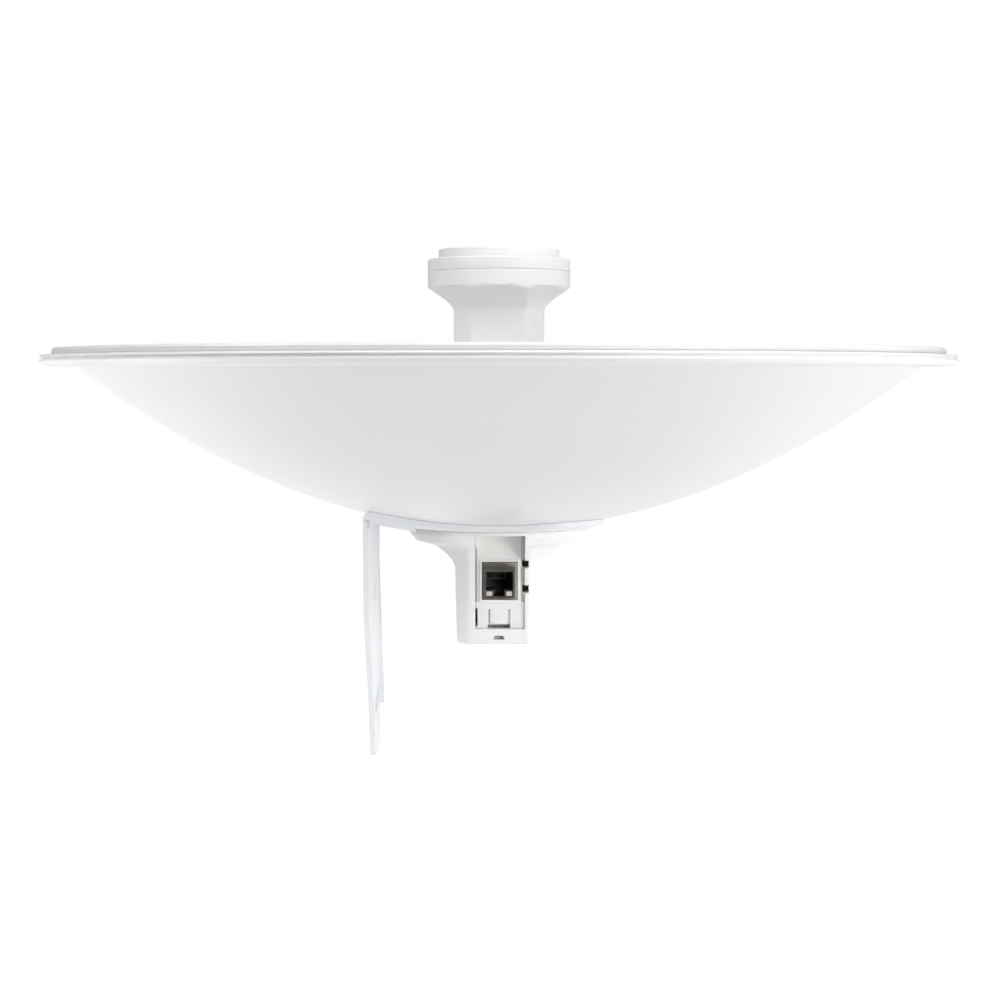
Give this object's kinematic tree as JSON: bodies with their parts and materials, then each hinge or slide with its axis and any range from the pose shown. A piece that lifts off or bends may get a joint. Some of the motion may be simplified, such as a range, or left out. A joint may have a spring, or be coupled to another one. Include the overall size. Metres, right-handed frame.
{
  "type": "wireless bridge dish antenna",
  "caption": "round sheet-metal dish with a feed standing at its centre, a rear radio housing with a network jack, and an L-shaped bracket for clamping it to a mast",
  "frame": {"origin": "On the outer flat face of the bracket's side flange, between its pivot hole and its curved slot, where the mast clamp bears.", "axes": "+Z is the dish's axis, the way the dish looks. -X is the outward normal of the flange's outer face. The port bay opens toward -Y. Installed on a mast, +Z lies level and points at the far station, and -Y points down."},
  "size_m": [0.42, 0.42, 0.2383],
  "materials": {
    "dish_paint": "smooth semi-matte pale grey powder coat on steel sheet",
    "bracket_paint": "smooth semi-matte pale grey powder coat on steel sheet",
    "feed_plastic": "fine satin moulded plastic, off-white",
    "cover_plastic": "fine satin moulded plastic, off-white",
    "cap_plastic": "fine satin moulded plastic, off-white",
    "collar_plastic": "fine satin moulded plastic, off-white",
    "housing_plastic": "fine satin moulded plastic, off-white",
    "tray_plastic": "fine satin moulded plastic, off-white",
    "shell_metal": "stamped tinned steel",
    "insert_plastic": "black moulded plastic",
    "contact_metal": "plated spring wire",
    "light_plastic": "clear light windows",
    "board_laminate": "green circuit board laminate",
    "seal_rubber": "black foam rubber",
    "screw_steel": "plated steel fasteners"
  },
  "bodies": {
    "root": {"reflector_dish": "dish_paint", "hub_seal": "seal_rubber", "feed_collar": "collar_plastic", "feed_neck": "feed_plastic", "feed_head_cover": "cover_plastic", "feed_cap": "cap_plastic", "mount_bracket": "bracket_paint", "rear_housing": "housing_plastic", "port_tray": "tray_plastic", "jack_shell": "shell_metal", "jack_insert": "insert_plastic", "jack_contacts": "contact_metal", "light_window_left": "light_plastic", "light_window_right": "light_plastic", "circuit_board": "board_laminate", "hub_screw_1": "screw_steel", "hub_screw_2": "screw_steel", "hub_screw_3": "screw_steel", "hub_screw_4": "screw_steel", "hub_washer_1": "screw_steel", "hub_washer_2": "screw_steel", "hub_washer_3": "screw_steel", "hub_washer_4": "screw_steel"}
  },
  "joints": []
}
